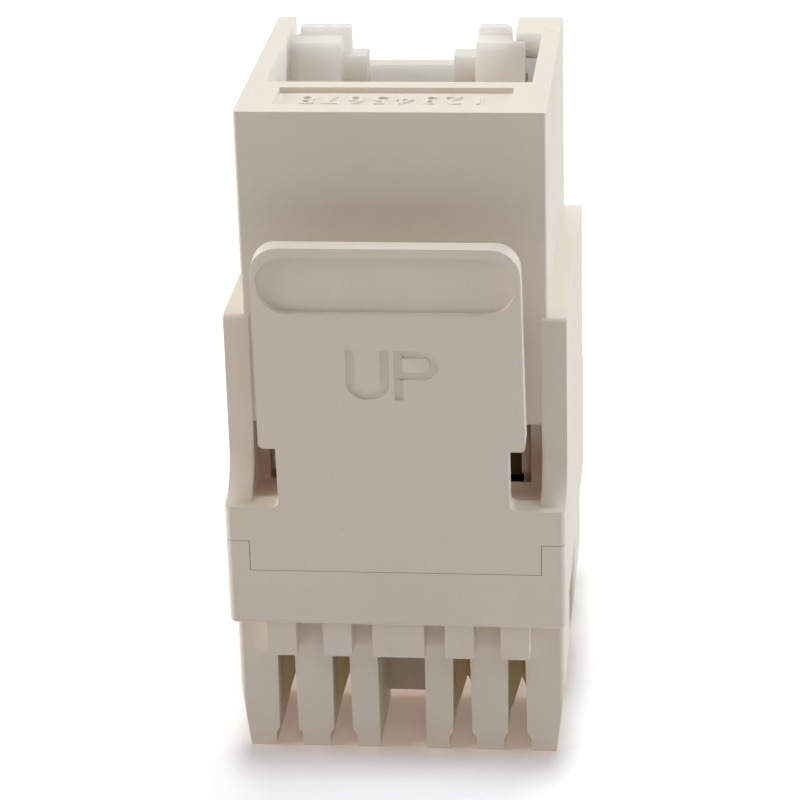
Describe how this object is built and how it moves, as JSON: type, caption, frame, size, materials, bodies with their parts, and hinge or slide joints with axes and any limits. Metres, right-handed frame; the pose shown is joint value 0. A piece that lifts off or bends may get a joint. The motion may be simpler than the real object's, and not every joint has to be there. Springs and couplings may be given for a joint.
{
  "type": "keystone jack",
  "caption": "In-line modular keystone jack with a spring panel latch, plug port with contact comb, circuit board and two rows of wire towers with forked blades.",
  "frame": {"origin": "on the plane of the wire towers' tips, below the middle of the panel nose", "axes": "+Z out of the plug port, -Y towards the spring latch, +X to the right seen from the latch side"},
  "size_m": [0.0164, 0.0215, 0.0325],
  "materials": {
    "housing_plastic": "satin moulded",
    "rear_plastic": "satin moulded",
    "insert_plastic": "satin moulded",
    "board": "solder mask",
    "contact_gold": "gold plated",
    "blade_metal": "tin plated"
  },
  "bodies": {
    "jack_body": {"front_housing": "housing_plastic", "rear_block": "rear_plastic", "port_insert": "insert_plastic", "circuit_board": "board", "wire_blade_1": "blade_metal", "wire_blade_2": "blade_metal", "wire_blade_3": "blade_metal", "wire_blade_4": "blade_metal", "wire_blade_5": "blade_metal", "wire_blade_6": "blade_metal", "wire_blade_7": "blade_metal", "wire_blade_8": "blade_metal"},
    "latch": {"latch_arm": "housing_plastic"},
    "contact_1_spring": {"contact_1": "contact_gold"},
    "contact_2_spring": {"contact_2": "contact_gold"},
    "contact_3_spring": {"contact_3": "contact_gold"},
    "contact_4_spring": {"contact_4": "contact_gold"},
    "contact_5_spring": {"contact_5": "contact_gold"},
    "contact_6_spring": {"contact_6": "contact_gold"},
    "contact_7_spring": {"contact_7": "contact_gold"},
    "contact_8_spring": {"contact_8": "contact_gold"}
  },
  "joints": [
    {"name": "latch_flex", "type": "hinge", "parent": "jack_body", "child": "latch", "pos_m": [0, -0.01005, 0.01375], "axis": [-1, 0, 0], "range_deg": [0, 9], "stiffness_Nm_per_rad": 0.4},
    {"name": "contact_1_flex", "type": "hinge", "parent": "jack_body", "child": "contact_1_spring", "pos_m": [0, -0.00522, 0.0112], "axis": [1, 0, 0], "range_deg": [0, 5], "stiffness_Nm_per_rad": 0.1},
    {"name": "contact_2_flex", "type": "hinge", "parent": "jack_body", "child": "contact_2_spring", "pos_m": [0, -0.00522, 0.0112], "axis": [1, 0, 0], "range_deg": [0, 5], "stiffness_Nm_per_rad": 0.1},
    {"name": "contact_3_flex", "type": "hinge", "parent": "jack_body", "child": "contact_3_spring", "pos_m": [0, -0.00522, 0.0112], "axis": [1, 0, 0], "range_deg": [0, 5], "stiffness_Nm_per_rad": 0.1},
    {"name": "contact_4_flex", "type": "hinge", "parent": "jack_body", "child": "contact_4_spring", "pos_m": [0, -0.00522, 0.0112], "axis": [1, 0, 0], "range_deg": [0, 5], "stiffness_Nm_per_rad": 0.1},
    {"name": "contact_5_flex", "type": "hinge", "parent": "jack_body", "child": "contact_5_spring", "pos_m": [0, -0.00522, 0.0112], "axis": [1, 0, 0], "range_deg": [0, 5], "stiffness_Nm_per_rad": 0.1},
    {"name": "contact_6_flex", "type": "hinge", "parent": "jack_body", "child": "contact_6_spring", "pos_m": [0, -0.00522, 0.0112], "axis": [1, 0, 0], "range_deg": [0, 5], "stiffness_Nm_per_rad": 0.1},
    {"name": "contact_7_flex", "type": "hinge", "parent": "jack_body", "child": "contact_7_spring", "pos_m": [0, -0.00522, 0.0112], "axis": [1, 0, 0], "range_deg": [0, 5], "stiffness_Nm_per_rad": 0.1},
    {"name": "contact_8_flex", "type": "hinge", "parent": "jack_body", "child": "contact_8_spring", "pos_m": [0, -0.00522, 0.0112], "axis": [1, 0, 0], "range_deg": [0, 5], "stiffness_Nm_per_rad": 0.1}
  ]
}
